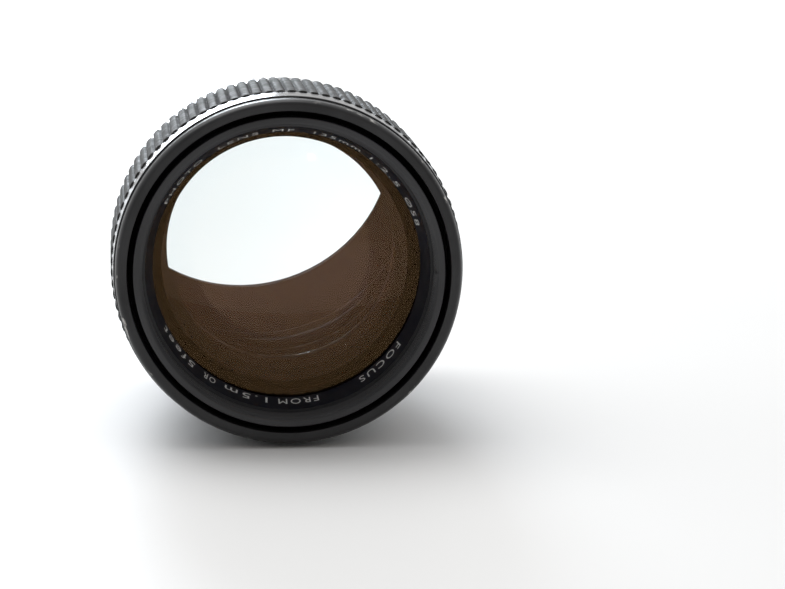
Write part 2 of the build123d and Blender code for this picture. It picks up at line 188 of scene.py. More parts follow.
def worn_paint(name, color, roughness, edge_radius, edge_width):
    """Paint that has rubbed through to bright metal in nicks near one edge radius."""
    made, principled = shader(name, color, roughness, specular=0.3)
    distance = radial_distance(made)
    near = node(made, "ShaderNodeMapRange")
    near.inputs["From Min"].default_value = (edge_radius - edge_width) * MM
    near.inputs["From Max"].default_value = edge_radius * MM
    link(made, distance, near.inputs["Value"])
    nicks = spread(made, noise(made, 420, 9, (1, 2.2, 1)), 0, 1, 0.62, 0.68)
    patch = spread(made, noise(made, 38, 2), 0, 1, 0.5, 0.62)
    both = node(made, "ShaderNodeMath", operation="MULTIPLY")
    link(made, nicks, both.inputs[0])
    link(made, patch, both.inputs[1])
    mask = node(made, "ShaderNodeMath", operation="MULTIPLY", use_clamp=True)
    link(made, both.outputs["Value"], mask.inputs[0])
    link(made, near.outputs["Result"], mask.inputs[1])
    mix = tint(made, principled, mask.outputs["Value"], color, (0.62, 0.6, 0.57))
    cloud = node(made, "ShaderNodeMix", data_type="RGBA")
    link(made, spread(made, noise(made, 90, 5), 0, 1), cloud.inputs["Factor"])
    cloud.inputs["A"].default_value = (*color, 1)
    cloud.inputs["B"].default_value = (*(c * 1.6 + 0.002 for c in color), 1)
    link(made, cloud.outputs["Result"], mix.inputs["A"])
    link(made, mask.outputs["Value"], principled.inputs["Metallic"])
    link(made, spread(made, noise(made, 300, 5), roughness * 0.85, roughness * 1.2),
         principled.inputs["Roughness"])
    bump(made, principled, noise(made, 7000, 2), 0.000005)
    return made


def turned_metal(name, color, roughness, groove=0.12, depth=0.000004, metallic=1.0):
    """Machined metal with fine concentric turning marks and light scratches."""
    made, principled = shader(name, color, roughness, metallic=metallic)
    wave = node(made, "ShaderNodeMath", operation="MULTIPLY")
    wave.inputs[1].default_value = 2 * math.pi / (groove * MM)
    link(made, radial_distance(made), wave.inputs[0])
    ridges = node(made, "ShaderNodeMath", operation="SINE")
    link(made, wave.outputs["Value"], ridges.inputs[0])
    bump(made, principled, ridges.outputs["Value"], depth)
    darker = tuple(c * 0.82 for c in color)
    tint(made, principled, spread(made, noise(made, 120, 6), 0, 1), darker, color)
    scratched = noise(made, 900, 6, (1, 0.08, 1))
    link(made, spread(made, scratched, roughness * 0.7, roughness * 1.5), principled.inputs["Roughness"])
    return made


def rubber():
    """Fine-textured rubber with painted light: rib crests painted lighter grey, valleys painted darker as
    shade, broken up by noise.
    """
    made, principled = shader("grip_rubber", (0.03, 0.029, 0.028), 0.66, specular=0.28)
    distance = radial_distance(made)
    # Painted light and shade: the crests are painted lighter grey where they catch the light, and the valleys
    # darker where shade falls, with noise breaking up the crest light.
    crest = node(made, "ShaderNodeMapRange")
    crest.inputs["From Min"].default_value = 34.25 * MM
    crest.inputs["From Max"].default_value = 34.7 * MM
    link(made, distance, crest.inputs["Value"])
    crest_light_noise = spread(made, noise(made, 2600, 6), 0.35, 1.0)
    painted_crest_light = node(made, "ShaderNodeMath", operation="MULTIPLY", use_clamp=True)
    link(made, crest.outputs["Result"], painted_crest_light.inputs[0])
    link(made, crest_light_noise, painted_crest_light.inputs[1])
    tint(made, principled, painted_crest_light.outputs["Value"], (0.007, 0.007, 0.007), (0.040, 0.039, 0.037))
    link(made, spread(made, noise(made, 500, 4), 0.56, 0.76), principled.inputs["Roughness"])
    bump(made, principled, noise(made, 5200, 5), 0.00003, 0.7)
    return made


def felt():
    """Dull black felt with visible fibres."""
    made, principled = shader("black_felt", (0.008, 0.008, 0.008), 0.95, specular=0.1)
    principled.inputs["Sheen Weight"].default_value = 0.4
    fibres = spread(made, noise(made, 6000, 6), 0, 1)
    tint(made, principled, fibres, (0.004, 0.004, 0.004), (0.02, 0.02, 0.019))
    bump(made, principled, noise(made, 7000, 6), 0.00006)
    return made


def coated_glass(name, color, index, film_nm, tint_color):
    """Optical glass with a thin anti-reflection film that colours its reflections, and a little dust."""
    made, principled = shader(name, color, 0.0)
    principled.inputs["Transmission Weight"].default_value = 1.0
    principled.inputs["IOR"].default_value = index
    principled.inputs["Specular Tint"].default_value = (*tint_color, 1)
    principled.inputs["Thin Film Thickness"].default_value = film_nm
    principled.inputs["Thin Film IOR"].default_value = 1.38
    crest_light_noise = spread(made, noise(made, 1500, 8), 0, 1, 0.68, 0.8)
    tint(made, principled, crest_light_noise, color, tuple(c * 0.93 for c in color))
    return made


def enamel(name, color):
    """Paint filled into engraved marks."""
    made, principled = shader(name, color, 0.45)
    darker = tuple(c * 0.86 for c in color)
    tint(made, principled, spread(made, noise(made, 3000, 4), 0, 1), darker, color)
    bump(made, principled, noise(made, 9000, 3), 0.000006)
    return made


MATERIALS = {
    "black_metal": painted("satin_black_paint", (0.016, 0.016, 0.018), 0.34),
    "gloss_black": painted("gloss_black_paint", (0.007, 0.008, 0.010), 0.16, grain=0.000002, specular=0.34),
    "baffle_black": painted("anti_reflection_black", (0.0045, 0.0042, 0.0040), 0.85, grain=0.0000008,
                            specular=0.04),
    "name_ring_black": painted("name_ring_paint", (0.010, 0.012, 0.018), 0.36),
    "grip_black": rubber(),
    "chrome": turned_metal("satin_chrome", (0.70, 0.70, 0.71), 0.2, 0.16),
    "brass": turned_metal("turned_brass", (0.66, 0.47, 0.2), 0.3, 0.2),
    "steel": turned_metal("machined_steel", (0.48, 0.48, 0.5), 0.3, 0.1),
    "aluminium": turned_metal("turned_aluminium", (0.62, 0.62, 0.64), 0.34, 0.25),
    "blade_steel": turned_metal("blackened_blade", (0.05, 0.05, 0.055), 0.45, 0.5, metallic=0.7),
    "felt": felt(),
    "glass_amber": coated_glass("front_glass", (1.0, 0.999, 0.996), 1.62, 95.0, (1.0, 0.78, 0.52)),
    "glass_clear": coated_glass("inner_glass", (1.0, 0.998, 0.993), 1.62, 110.0, (1.0, 0.74, 0.48)),
    "red_enamel": enamel("red_enamel", (0.62, 0.02, 0.015)),
}
HOOD_RIM_PAINT = worn_paint("worn_rim_paint", (0.018, 0.018, 0.019), 0.33, 33.8, 0.9)
WHITE = enamel("white_enamel", (0.86, 0.86, 0.84))
GREEN = enamel("green_enamel", (0.12, 0.5, 0.16))
ORANGE = enamel("orange_enamel", (0.85, 0.3, 0.05))
EDGE_BLACK = painted("glass_edge_black", (0.0035, 0.0032, 0.0030), 0.85, grain=0.0000003, specular=0.05)

SLOTS = {entry["node"]: entry["material_slot"] for entry in frame["record"]["subparts"]}
for name, cad in frame["nodes"].items():
    cad.data.materials.clear()
    cad.data.materials.append(MATERIALS[SLOTS[name]])


# ---- mesh helpers ------------------------------------------------------------------------------------
def face_outward(mesh, weld=False):
    """Turn every face of a closed mesh outward, after joining coincident points if asked."""
    work = bmesh.new()
    work.from_mesh(mesh)
    if weld:
        bmesh.ops.remove_doubles(work, verts=work.verts, dist=0.0000004)
    bmesh.ops.recalc_face_normals(work, faces=work.faces)
    work.to_mesh(mesh)
    work.free()


def finish_piece(name, verts, faces, body, stands_for=(), slot=None, material=None, angle=35, weld=False):
    """Make a smooth mesh object from points in millimetres and let it ride on a body."""
    mesh = bpy.data.meshes.new(name)
    mesh.from_pydata([(x * MM, y * MM, z * MM) for x, y, z in verts], [], faces)
    piece = bpy.data.objects.new(name, mesh)
    bpy.context.scene.collection.objects.link(piece)
    if weld:
        face_outward(mesh, weld=True)
    mesh.shade_smooth()
    mesh.set_sharp_from_angle(angle=math.radians(angle))
    piece.modifiers.new("even_shading", "WEIGHTED_NORMAL").keep_sharp = True
    slot = slot or SLOTS[stands_for[0]]
    mesh.materials.append(material or MATERIALS[slot])
    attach(piece, body)
    if stands_for:
        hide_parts(*stands_for)
    return piece


def soften(corners, radius, steps=4):
    """Round every corner of a closed profile of (radius, station) points."""
    rounded = []
    count = len(corners)
    for i, corner in enumerate(corners):
        before = Vector(corners[i - 1])
        here = Vector(corner)
        after = Vector(corners[(i + 1) % count])
        into = before - here
        out = after - here
        size = min(radius, into.length * 0.4, out.length * 0.4)
        start = here + into.normalized() * size
        end = here + out.normalized() * size
        for k in range(steps + 1):
            t = k / steps
            point = start * (1 - t) ** 2 + here * 2 * t * (1 - t) + end * t ** 2
            rounded.append((point.x, point.y))
    return rounded


def at(radius, station, angle):
    """A point in millimetres from cylindrical coordinates."""
    turn = math.radians(angle)
    return (radius * math.cos(turn), -station, radius * math.sin(turn))


def lathe(name, profile, body, stands_for=(), around=AROUND, radius_at=None, **options):
    """Turn a closed profile of (radius, station) points about the optical axis."""
    verts = []
    faces = []
    rows = len(profile)
    for i in range(around):
        angle = 360.0 * i / around
        for radius, station in profile:
            if radius_at:
                radius = radius_at(radius, station, angle)
            verts.append(at(radius, station, angle))
    for i in range(around):
        j = (i + 1) % around
        for k in range(rows):
            m = (k + 1) % rows
            faces.append((i * rows + k, i * rows + m, j * rows + m, j * rows + k))
    area = sum(profile[k][0] * profile[(k + 1) % rows][1] - profile[(k + 1) % rows][0] * profile[k][1]
               for k in range(rows))
    if area > 0:
        faces = [face[::-1] for face in faces]
    return finish_piece(name, verts, faces, body, stands_for, **options)


def tube(name, inner, outer, rear, front, body, stands_for=(), edge=0.12, **options):
    """A plain ring with rounded edges."""
    corners = [(inner, rear), (outer, rear), (outer, front), (inner, front)]
    return lathe(name, soften(corners, edge), body, stands_for, **options)


def smoothstep(low, high, value):
    """Rise smoothly from 0 at low to 1 at high, or fall where high is below low."""
    t = min(max((value - low) / (high - low), 0.0), 1.0)
    return t * t * (3 - 2 * t)


# ---- lettering and marks -----------------------------------------------------------------------------
def letter_shapes(text, size, spacing=1.0):
    """Flat outlines of a word as vertices and faces, centred on x, cap height about size."""
    curve = bpy.data.curves.new("word", "FONT")
    curve.body = text
    curve.size = size * 1.42
    curve.align_x = "CENTER"
    curve.space_character = spacing
    curve.resolution_u = 3
    curve.extrude = 0.012
    carrier = bpy.data.objects.new("word", curve)
    bpy.context.scene.collection.objects.link(carrier)
    bpy.context.view_layer.update()
    evaluated = carrier.evaluated_get(bpy.context.evaluated_depsgraph_get())
    mesh = evaluated.to_mesh()
    verts = [tuple(v.co) for v in mesh.vertices]
    faces = [tuple(p.vertices) for p in mesh.polygons]
    evaluated.to_mesh_clear()
    bpy.data.objects.remove(carrier)
    bpy.data.curves.remove(curve)
    return verts, faces


def letter_piece(name, words, place, body, material, slot):
    """Join words laid on a surface into one piece. place turns (word, x, y, z) into a point in mm."""
    verts = []
    faces = []
    for word in words:
        points, polygons = letter_shapes(word["text"], word["size"], word.get("spacing", 1.0))
        offset = len(verts)
        verts += [place(word, x, y, z) for x, y, z in points]
        faces += [tuple(index + offset for index in polygon) for polygon in polygons]
    return finish_piece(name, verts, faces, body, slot=slot, material=material, angle=20, weld=True)


def on_cylinder(radius):
    """Words that read from behind the lens, tops towards the front."""
    def place(word, x, y, z):
        angle = word["angle"] + math.degrees(x / radius)
        return at(radius + z, word["station"] - word["size"] / 2 + y, angle)
    return place


def tick_marks(name, marks, radius, body, material, slot):
    """Raised lines on a cylinder: (angle, rear station, front station, width)."""
    foot = radius - MARK_SINK
    top = radius + MARK_LIFT
    steps = 4
    verts = []
    faces = []
    for angle, rear, front, width in marks:
        half = math.degrees(width / 2 / radius)
        first = len(verts)
        for k in range(steps + 1):
            turn = angle - half + 2 * half * k / steps
            verts += [at(foot, rear, turn), at(top, rear, turn), at(top, front, turn), at(foot, front, turn)]
        for k in range(steps):
            for m in range(4):
                a = first + k * 4 + m
                b = first + k * 4 + (m + 1) % 4
                faces.append((a, b, b + 4, a + 4))
        last = first + steps * 4
        faces.append((first + 3, first + 2, first + 1, first))
        faces.append((last, last + 1, last + 2, last + 3))
    return finish_piece(name, verts, faces, body, slot=slot, material=material, angle=30, weld=True)


# ---- front of the lens unit --------------------------------------------------------------------------
def threaded_filter_ring():
    """The filter ring with its real helical thread cut into the bore."""
    rear = rear_of("filter_ring")
    per_turn = 12
    thread_rear = NAME_FRONT
    thread_front = LENGTH - 0.35
    shoulder = [(THREAD_CREST, NAME_FRONT - 0.001), (SHOULDER_BORE, NAME_FRONT), (SHOULDER_BORE, BARREL_NOSE)]
    # A rounded corner is 5 points in the first outline and 7 in the second. The slices drop the corners
    # that only give the rounding of their neighbours a direction.
    outside = shoulder + soften(
        [(28.5, BARREL_NOSE), (29.55, BARREL_NOSE), (29.55, rear), (RIM_OUTER, rear)], 0.12)[5:]
    lip = soften(
        [(RIM_OUTER, 88.0), (RIM_OUTER, LENGTH), (29.2, LENGTH), (THREAD_CREST, LENGTH - 0.5)], 0.28, 6)[7:-7]
    turns = math.ceil((thread_front - thread_rear) / THREAD_PITCH) + 2
    rows = turns * per_turn
    verts = []
    faces = []
    fixed = outside + lip
    count = len(fixed) + rows
    for i in range(AROUND):
        angle = 360.0 * i / AROUND
        for radius, station in fixed:
            verts.append(at(radius, station, angle))
        for k in range(rows):
            phase = k / per_turn
            station = thread_front + THREAD_PITCH - (phase + i / AROUND) * THREAD_PITCH
            clamped = min(max(station, thread_rear), thread_front)
            wave = phase % 1.0
            cut = max(0.0, 1.0 - abs(wave - 0.5) / 0.42)
            depth = (THREAD_ROOT - THREAD_CREST) * min(cut * 1.15, 1.0)
            depth *= smoothstep(thread_front, thread_front - 0.25, station)
            depth *= smoothstep(thread_rear, thread_rear + 0.3, station)
            lead = 0.45 * smoothstep(thread_front - 0.3, thread_front, clamped)
            verts.append(at(THREAD_CREST + max(depth, lead * 0.9), clamped, angle))
    for i in range(AROUND):
        j = (i + 1) % AROUND
        for k in range(count):
            m = (k + 1) % count
            faces.append((i * count + k, i * count + m, j * count + m, j * count + k))
    finish_piece("filter_ring_threaded", verts, faces, "lens_unit", ["filter_ring"], weld=True, angle=50)


threaded_filter_ring()

NAME_INNER = (GLASS_EDGE, NAME_REAR + 0.15)
lathe("name_ring_cone", soften(
    [(NAME_OUTER, NAME_FRONT), NAME_INNER, (GLASS_EDGE, NAME_REAR), (NAME_OUTER, NAME_REAR)], 0.08),
    "lens_unit", ["name_ring"])

CONE = Vector((NAME_OUTER - GLASS_EDGE, NAME_FRONT - NAME_INNER[1]))
CONE_UP = CONE.normalized()
LETTER_RADIUS = GLASS_EDGE + 1.1     # where the letters' widths are measured


def on_name_ring(word, x, y, z):
    """Letters on the cone, tops outward, reading clockwise from the front."""
    along = word["along"] + y
    radius = GLASS_EDGE + CONE_UP.x * along
    station = NAME_INNER[1] + CONE_UP.y * along
    angle = word["angle"] - math.degrees(x * word["stretch"] / LETTER_RADIUS)
    return at(radius - CONE_UP.y * z, station + CONE_UP.x * z, angle)


# Each word with the angles where it starts and ends.
RING_WORDS = [("PHOTO", 152, 128), ("LENS", 120, 102), ("MF", 96, 87), ("135mm", 79, 58), ("1:2.5", 53, 36),
              ("Ø58", 30, 17), ("FOCUS", 325, 302), ("FROM", 283, 266), ("1.5m", 262, 243),
              ("OR", 238, 232), ("5feet", 227, 206)]
NAME_LETTER = 2.3


def ring_words():
    """The words of the name ring, each stretched to fill its arc."""
    words = []
    for text, start, end in RING_WORDS:
        points, _ = letter_shapes(text, NAME_LETTER, 1.25)
        width = max(p[0] for p in points) - min(p[0] for p in points)
        wanted = math.radians(start - end) * LETTER_RADIUS
        words.append({"text": text, "size": NAME_LETTER, "spacing": 1.25, "along": 0.75,
                      "angle": (start + end) / 2, "stretch": wanted / width})
    return words


letter_piece("name_ring_lettering", ring_words(), on_name_ring, "lens_unit", WHITE, "name_ring_black")

GUIDE_REAR = 80.5
GUIDE_FRONT = 83.5
FELT_REAR = 81.3
FELT_FRONT = 82.7
lathe("hood_guide_ring_fine", soften(
    [(RIM_OUTER, GUIDE_REAR), (31.3, GUIDE_REAR), (31.3, FELT_REAR), (31.0, FELT_REAR), (31.0, FELT_FRONT),
     (31.3, FELT_FRONT), (31.3, GUIDE_FRONT), (RIM_OUTER, GUIDE_FRONT)], 0.06),
    "lens_unit", ["hood_guide_ring"], material=MATERIALS["baffle_black"])
tube("hood_felt_ring", 31.0, HOOD_BORE - 0.08, FELT_REAR, FELT_FRONT, "lens_unit", ["hood_felt"], edge=0.3)
lathe("front_cell_fine", soften(
    [(20.0, 58.5), (27.95, 58.5), (27.95, 79.7), (27.25, 79.7), (27.25, 75.5), (24.6, 75.5), (24.6, 68.9),
     (23.55, 68.9), (23.55, 61.1), (20.0, 61.1)], 0.08), "lens_unit", ["front_cell"])
lathe("doublet_retaining_ring_fine", soften(
    [(22.9, 69.5), (24.55, 69.25), (24.55, 71.9), (23.6, 71.9)], 0.06),
    "lens_unit", ["doublet_retaining_ring"])
frame["nodes"]["front_barrel"].data.materials[0] = MATERIALS["baffle_black"]


# ---- glass -------------------------------------------------------------------------------------------
def sag(curvature, radius):
    """Depth of a spherical face at a distance from its axis, positive where it curves back."""
    root = math.sqrt(curvature ** 2 - radius ** 2)
    return curvature - root if curvature > 0 else curvature + root


def lens_element(name, front, back, edge, back_edge, slot):
    """A glass element with a blackened edge. A face is (radius of curvature, station of its vertex)."""
    steps = 36
    surface_front = []
    surface_back = []
    for k in range(steps + 1):
        share = math.sin(math.pi / 2 * k / steps)
        radius = edge * share
        surface_front.append((radius, front[1] - sag(front[0], radius)))
        radius = back_edge * share
        surface_back.append((radius, back[1] - sag(back[0], radius)))
    rim_back = [(edge, surface_back[-1][1])] if back_edge < edge else []
    profile = surface_front + rim_back + surface_back[::-1]
    around = 128
    verts = [at(radius, station, 360.0 * i / around) for i in range(around) for radius, station in profile]
    rows = len(profile)
    faces = []
    for i in range(around):
        j = (i + 1) % around
        for k in range(rows - 1):
            faces.append((j * rows + k, j * rows + k + 1, i * rows + k + 1, i * rows + k))
    piece = finish_piece(name + "_glass", verts, faces, "lens_unit", [name], slot=slot, weld=True, angle=30)
    piece.modifiers.clear()
    piece.data.materials.append(EDGE_BLACK)
    for polygon in piece.data.polygons:
        reach = polygon.center.xz.length
        on_edge = abs(polygon.normal.y) < 0.3 and reach > (edge - 0.4) * MM
        on_step = back_edge < edge and reach > (back_edge + 0.1) * MM and polygon.normal.y > 0.95
        if on_edge or on_step:
            polygon.material_index = 1


FRONT_VERTEX = 84.85
lens_element("front_element", (70.0, FRONT_VERTEX), (230.0, 77.2), 27.2, 27.2, "glass_amber")
lens_element("second_element", (40.0, 76.6), (105.0, 69.1), 23.5, 23.5, "glass_clear")
lens_element("third_element", (105.0, 69.05), (38.39, 66.5), 23.5, 19.5, "glass_clear")
lens_element("fourth_element", (85.0, 38.9), (-220.0, 34.9), 17.0, 17.0, "glass_clear")
lens_element("fifth_element", (-45.0, 28.9), (-90.0, 26.4), 15.5, 15.5, "glass_clear")
lens_element("sixth_element", (200.0, 18.9), (78.56, 14.9), 16.0, 16.0, "glass_clear")

# ---- hood --------------------------------------------------------------------------------------------
HOOD_REAR = rear_of("hood_tube")
lathe("hood_tube_fine", soften(
    [(30.8, HOOD_REAR), (HOOD_OUTER, HOOD_REAR), (HOOD_OUTER, LENGTH - 1.0), (HOOD_BORE, LENGTH - 1.0),
     (HOOD_BORE, HOOD_REAR + 1.2), (30.8, HOOD_REAR + 1.2)], 0.1), "hood", ["hood_tube"])
RIM_REAR = rear_of("hood_rim")
RIM_RADIUS = reach_of("hood_rim")
rim_front = [(HOOD_BORE + 0.1, LENGTH), (HOOD_BORE + 1.15, LENGTH)]
rim_round = [(RIM_RADIUS - 1.1 + 1.1 * math.sin(math.radians(a)),
              LENGTH - 1.9 + 1.9 * math.cos(math.radians(a))) for a in range(10, 91, 8)]
rim_back = [(RIM_RADIUS, LENGTH - 2.4), (RIM_RADIUS - 0.12, LENGTH - 2.52),
            (RIM_RADIUS - 0.12, LENGTH - 2.68), (RIM_RADIUS, LENGTH - 2.8),
            (RIM_RADIUS, RIM_REAR + 0.15), (RIM_RADIUS - 0.15, RIM_REAR),
            (HOOD_OUTER, RIM_REAR), (HOOD_OUTER, LENGTH - 1.0), (HOOD_BORE, LENGTH - 1.0),
            (HOOD_BORE, LENGTH - 0.1)]
lathe("hood_rim_rolled", rim_front + rim_round + rim_back, "hood", ["hood_rim"], material=HOOD_RIM_PAINT,
      around=360)

# ---- focus ring --------------------------------------------------------------------------------------
BEZEL_REAR = 80.35
lathe("focus_sleeve_fine", soften(
    [(33.05, SLEEVE_FRONT), (34.0, SLEEVE_FRONT), (34.2, SLEEVE_FRONT - 0.25), (34.4, BEZEL_REAR + 0.15),
     (34.25, BEZEL_REAR), (33.8, BEZEL_REAR), (33.8, 51.6), (33.75, 51.6), (SCALE_RADIUS, 51.45),
     (SCALE_RADIUS, SLEEVE_REAR + 0.3), (33.6, SLEEVE_REAR), (31.4, SLEEVE_REAR), (31.4, 57.35),
     (31.0, 57.35), (31.0, 58.0), (33.05, 58.0)], 0.1),
    "focus_ring", ["focus_sleeve"], around=360)


def ribbed(name, inner, crest, valley, count, share, rear, front, power, body, stands_for, chamfer=0.3,
           per_rib=14, **options):
    """A ring with rounded ribs along its outside, sampled finely around each rib."""
    stations = [rear, rear + chamfer * 0.3, rear + chamfer]
    spans = 6
    stations += [rear + chamfer + (front - rear - 2 * chamfer) * k / spans for k in range(1, spans)]
    stations += [front - chamfer, front - chamfer * 0.3, front]
    drops = [chamfer * 0.5, chamfer * 0.14, 0.0] + [0.0] * (spans - 1) + [0.0, chamfer * 0.14, chamfer * 0.5]
    verts = []
    faces = []
    rows = len(stations) + 2
    total = count * per_rib
    for i in range(total):
        angle = 360.0 * i / total
        place = (i % per_rib) / per_rib * 2 - 1
        lobe = max(0.0, 1.0 - (abs(place) / share) ** power) ** (1.0 / power)
        verts.append(at(inner, rear, angle))
        for station, drop in zip(stations, drops):
            radius = max(valley - drop * 0.2, valley + (crest - valley) * lobe - drop)
            verts.append(at(radius, station, angle))
        verts.append(at(inner, front, angle))
    for i in range(total):
        j = (i + 1) % total
        for k in range(rows):
            m = (k + 1) % rows
            faces.append((j * rows + k, j * rows + m, i * rows + m, i * rows + k))
    return finish_piece(name, verts, faces, body, stands_for, angle=40, **options)


RIBS = 96
ribbed("focus_grip_ribbed", 33.8, reach_of("focus_grip"), 34.12, RIBS, 0.86, GRIP_REAR, GRIP_FRONT, 2.6,
       "focus_ring", ["focus_grip"])
tube("focus_helicoid_fine", 30.05, 31.4, rear_of("focus_helicoid"), front_of("focus_helicoid"), "focus_ring",
     ["focus_helicoid"], edge=0.2)

INDEX = 90.0                 # angle of every index mark
METRES = (1.5, 1.7, 2.0, 2.5, 3.0, 4.0, 5.0, 7.0, 10.0, 15.0, 30.0)
FEET = (5, 6, 7, 8, 10, 12, 15, 20, 30, 50)
METRES_PER_FOOT = 0.3048
METRE_STATION = 46.8
FEET_STATION = 49.9


def turn_for(distance):
    """Angle of the focus ring for a distance in metres, from the thin lens law."""
    focal = 0.135
    closest = 1.5
    travel = focal ** 2 / (distance - focal - focal) / MM
    full_travel = focal ** 2 / (closest - focal - focal) / MM
    return FOCUS_TURN * travel / full_travel


metre_words = [{"text": f"{length:g}", "size": 1.9, "station": METRE_STATION,
                "angle": INDEX - turn_for(length)} for length in METRES]
letter_piece("metre_scale", metre_words, on_cylinder(SCALE_RADIUS), "focus_ring", WHITE, "gloss_black")
feet_words = [{"text": f"{length:g}", "size": 1.7, "station": FEET_STATION,
               "angle": INDEX - turn_for(length * METRES_PER_FOOT)} for length in FEET]
letter_piece("feet_scale", feet_words, on_cylinder(SCALE_RADIUS), "focus_ring", GREEN, "gloss_black")
distance_marks = [(INDEX - turn_for(length), 44.4, 45.1, 0.25) for length in METRES]
distance_marks += [(INDEX, 44.4, 45.3, 0.3)]
tick_marks("distance_ticks", distance_marks, SCALE_RADIUS, "focus_ring", WHITE, "gloss_black")


def infinity_mark(name, angle, station, size, radius, body):
    """A lying figure of eight drawn as a thin band."""
    verts = []
    faces = []
    steps = 64
    for i in range(steps):
        t = 2 * math.pi * i / steps
        for offset in (-0.5, 0.5):
            stroke = 1.0 + offset * 0.26
            x = size * stroke * math.cos(t)
            y = size * 0.5 * (1.0 + offset * 0.5) * math.sin(2 * t)
            turn = angle + math.degrees(x / radius)
            verts.append(at(radius + MARK_LIFT + 0.001 * math.cos(t), station + y, turn))
    for i in range(steps):
        a = 2 * i
        b = 2 * ((i + 1) % steps)
        faces.append((a, a + 1, b + 1, b))
    finish_piece(name, verts, faces, body, slot="gloss_black", material=WHITE)


infinity_mark("infinity_metre_mark", INDEX, METRE_STATION, 1.5, SCALE_RADIUS, "focus_ring")

# ---- fixed scale, aperture ring, rear ring -----------------------------------------------------------
SCALE_REAR = rear_of("scale_ring")
SCALE_FRONT = front_of("scale_ring")
FIXED_RADIUS = reach_of("scale_ring")
lathe("scale_ring_fine", soften(
    [(30.0, SCALE_REAR), (32.5, SCALE_REAR), (FIXED_RADIUS, SCALE_REAR + 0.3),
     (FIXED_RADIUS, SCALE_FRONT - 0.3), (32.5, SCALE_FRONT), (31.75, SCALE_FRONT),
     (31.75, SCALE_REAR + 1.3), (30.0, SCALE_REAR + 1.3)], 0.1),
    "barrel", ["scale_ring"])
DEPTH_ANGLES = [("22", 22.0), ("11", 11.5), ("4", 4.2)]
depth_marks = [(INDEX + side * angle, 41.2, 43.3, 0.22) for _, angle in DEPTH_ANGLES for side in (-1, 1)]
depth_marks += [(INDEX + side * angle, 42.1, 43.3, 0.18) for angle in (16.0, 8.0) for side in (-1, 1)]
depth_marks += [(INDEX, 40.4, 43.35, 0.35)]
tick_marks("depth_ticks", depth_marks, FIXED_RADIUS, "barrel", WHITE, "black_metal")
depth_words = [{"text": label, "size": 1.6, "station": 39.6, "angle": INDEX + side * angle}
               for label, angle in DEPTH_ANGLES for side in (-1, 1)]
letter_piece("depth_numbers", depth_words, on_cylinder(FIXED_RADIUS), "barrel", WHITE, "black_metal")
tick_marks("aperture_index", [(INDEX, 31.9, 35.2, 0.4)], FIXED_RADIUS, "barrel", ORANGE, "black_metal")

SCALLOP_FRONT = 27.0
SCALLOP_PITCH = 12.0         # degrees from one grip to the next
SCALLOP_DEPTH = 0.48
APERTURE_BAND = 32.35        # radius of the smooth band that carries the numbers
APERTURE_REAR = rear_of("aperture_ring")
APERTURE_FRONT = front_of("aperture_ring")


def aperture_radius(radius, station, angle):
    """Scallops between raised grips on the rear half of the ring."""
    if radius < 31.1 or station > SCALLOP_FRONT:
        return radius
    place = abs((angle / SCALLOP_PITCH) % 1.0 - 0.5) * 2
    cut = smoothstep(0.5, 0.72, place)
    fade = smoothstep(SCALLOP_FRONT, SCALLOP_FRONT - 0.8, station)
    fade *= smoothstep(APERTURE_REAR, APERTURE_REAR + 0.5, station)
    return radius - SCALLOP_DEPTH * cut * fade


aperture_profile = soften(
    [(30.06, APERTURE_REAR), (31.35, APERTURE_REAR), (31.7, APERTURE_REAR + 0.45), (31.75, 21.0),
     (31.75, 23.0), (31.75, 25.0), (31.75, 26.1), (31.75, 26.8), (31.75, 27.1), (APERTURE_BAND, 27.5),
     (APERTURE_BAND, APERTURE_FRONT - 0.3), (32.1, APERTURE_FRONT), (30.06, APERTURE_FRONT)], 0.1)
scalloped_ring = lathe("aperture_ring_scalloped", aperture_profile, "aperture_ring", ["aperture_ring"],
                       around=720, radius_at=aperture_radius)
STOPS = ["2.5", "4", "5.6", "8", "11", "16", "22"]
STOP_ANGLE = 9.0             # degrees from one stop to the next
stop_words = [{"text": label, "size": 1.8, "station": 29.3, "angle": INDEX + STOP_ANGLE * i}
              for i, label in enumerate(STOPS)]
letter_piece("aperture_numbers", stop_words, on_cylinder(APERTURE_BAND), "aperture_ring", WHITE,
             "black_metal")


def radial_point(angle, station, radius, height, spin):
    """A point round an axis that points out from the optical axis at an angle and station."""
    turn = math.radians(angle)
    outward = Vector((math.cos(turn), 0, math.sin(turn)))
    sideways = Vector((-math.sin(turn), 0, math.cos(turn)))
    forward = Vector((0, -1, 0))
    across = sideways * math.cos(spin) + forward * math.sin(spin)
    return Vector((0, -station, 0)) + outward * height + across * radius


def disc_stack(name, angle, station, profile, body, stands_for=(), around=48, **options):
    """A small turned piece whose axis points out from the optical axis: (radius, height) points."""
    verts = []
    faces = []
    rows = len(profile)
    for i in range(around):
        spin = 2 * math.pi * i / around
        verts += [tuple(radial_point(angle, station, radius, height, spin)) for radius, height in profile]
    for i in range(around):
        j = (i + 1) % around
        for k in range(rows - 1):
            faces.append((i * rows + k, j * rows + k, j * rows + k + 1, i * rows + k + 1))
    return finish_piece(name, verts, faces, body, stands_for, weld=True, **options)


